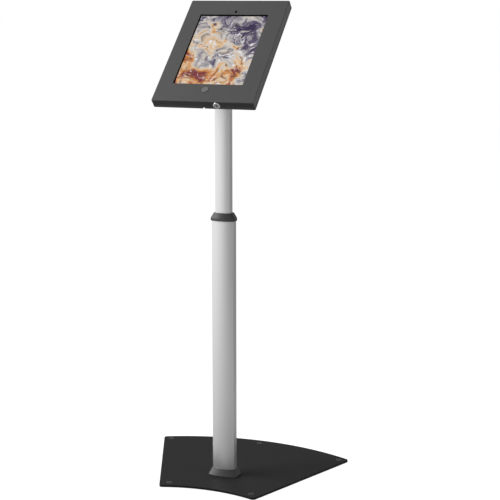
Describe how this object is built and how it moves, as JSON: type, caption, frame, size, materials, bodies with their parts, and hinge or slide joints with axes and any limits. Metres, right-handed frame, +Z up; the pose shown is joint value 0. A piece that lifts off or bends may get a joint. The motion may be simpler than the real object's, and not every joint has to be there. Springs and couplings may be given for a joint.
{
  "type": "tablet floor stand",
  "caption": "Free-standing tablet stand: flat floor plate, telescoping column with a height clamp, and a tilting, turning, lockable enclosure with a hinged front frame.",
  "frame": {"origin": "on the floor, on the column's axis", "axes": "+Z up, the screen faces -Y and up, +X to the right of someone facing the screen"},
  "size_m": [0.4484, 0.3519, 1.0175],
  "materials": {
    "charcoal_paint": "fine satin powder coat",
    "anodised": "satin anodised",
    "black_plastic": "satin",
    "black_steel": "satin black",
    "zinc_steel": "zinc plated",
    "brass": "turned",
    "rubber": "matt",
    "foam": "closed-cell foam",
    "chrome": "polished",
    "key_grey": "satin",
    "tablet_aluminium": "bead blasted",
    "tablet_border": "black glass",
    "tablet_screen": "lit screen"
  },
  "bodies": {
    "base": {"base_plate": "charcoal_paint", "foot_back_left": "rubber", "foot_back_right": "rubber", "foot_front_left": "rubber", "foot_front_right": "rubber", "foot_back_middle": "rubber", "foot_centre": "rubber", "foot_screws": "zinc_steel", "column_insert": "black_steel", "column_bolts": "zinc_steel", "lower_column": "anodised", "column_side_screws": "zinc_steel", "foot_shroud": "black_plastic", "column_collar": "black_plastic", "clamp_boss": "brass"},
    "clamp_pad": {"clamp_pad": "brass"},
    "clamp_knob": {"clamp_knob": "black_plastic"},
    "mast": {"upper_column": "anodised", "column_glide": "black_plastic", "glide_pin": "zinc_steel", "head_cap": "black_steel", "cap_screws": "zinc_steel", "tilt_bolt": "zinc_steel", "tilt_nut": "zinc_steel", "tilt_washers": "black_plastic"},
    "tilt": {"tilt_bracket": "black_steel", "hub_washer": "black_plastic", "turn_stop": "zinc_steel"},
    "panel": {"back_tray": "charcoal_paint", "hinge_pins": "zinc_steel", "adapter_plate": "black_steel", "adapter_screws": "zinc_steel", "hub_bolt": "zinc_steel", "hub_nut": "zinc_steel", "tablet_body": "tablet_aluminium", "tablet_border": "tablet_border", "tablet_screen": "tablet_screen", "cushion_top_left": "foam", "cushion_top_right": "foam", "cushion_bottom_left": "foam", "cushion_bottom_right": "foam", "lock_barrel": "chrome", "lock_nut": "zinc_steel"},
    "front_frame": {"front_frame": "charcoal_paint", "window_gasket": "foam", "key_retainer": "black_plastic", "lock_catch": "zinc_steel"},
    "lock_plug": {"lock_plug": "chrome", "lock_cam": "zinc_steel", "cam_screw": "zinc_steel"},
    "home_key": {"home_key": "key_grey"}
  },
  "joints": [
    {"name": "column_height", "type": "slide", "parent": "base", "child": "mast", "axis": [0, 0, 1], "range_m": [-0.24, 0.18]},
    {"name": "head_tilt", "type": "hinge", "parent": "mast", "child": "tilt", "pos_m": [0, 0, 0.8595], "axis": [1, 0, 0], "range_deg": [-40, 45]},
    {"name": "panel_turn", "type": "hinge", "parent": "tilt", "child": "panel", "pos_m": [0, 0.02493, 0.88218], "axis": [0, -0.673, 0.7396], "range_deg": [0, 90]},
    {"name": "frame_open", "type": "hinge", "parent": "panel", "child": "front_frame", "pos_m": [0, 0.10792, 1.01117], "axis": [-1, 0, 0], "range_deg": [0, 135]},
    {"name": "lock_turn", "type": "hinge", "parent": "panel", "child": "lock_plug", "pos_m": [0.0304, -0.11148, 0.81559], "axis": [0, 0.7396, 0.673], "range_deg": [0, 90]},
    {"name": "home_key_press", "type": "slide", "parent": "front_frame", "child": "home_key", "axis": [0, 0.673, -0.7396], "range_m": [0, 0.0005], "stiffness_N_per_m": 1000, "springref_m": -0.0005},
    {"name": "clamp_slide", "type": "slide", "parent": "base", "child": "clamp_pad", "axis": [0, 1, 0], "range_m": [0, 0.00055]},
    {"name": "clamp_turn", "type": "hinge", "parent": "clamp_pad", "child": "clamp_knob", "pos_m": [0, 0.02, 0.5455], "axis": [0, 1, 0], "range_deg": [0, 180]}
  ],
  "couplings": [
    {"joint": "clamp_slide", "follows": "clamp_turn", "m_per_rad": 0.00015915}
  ]
}
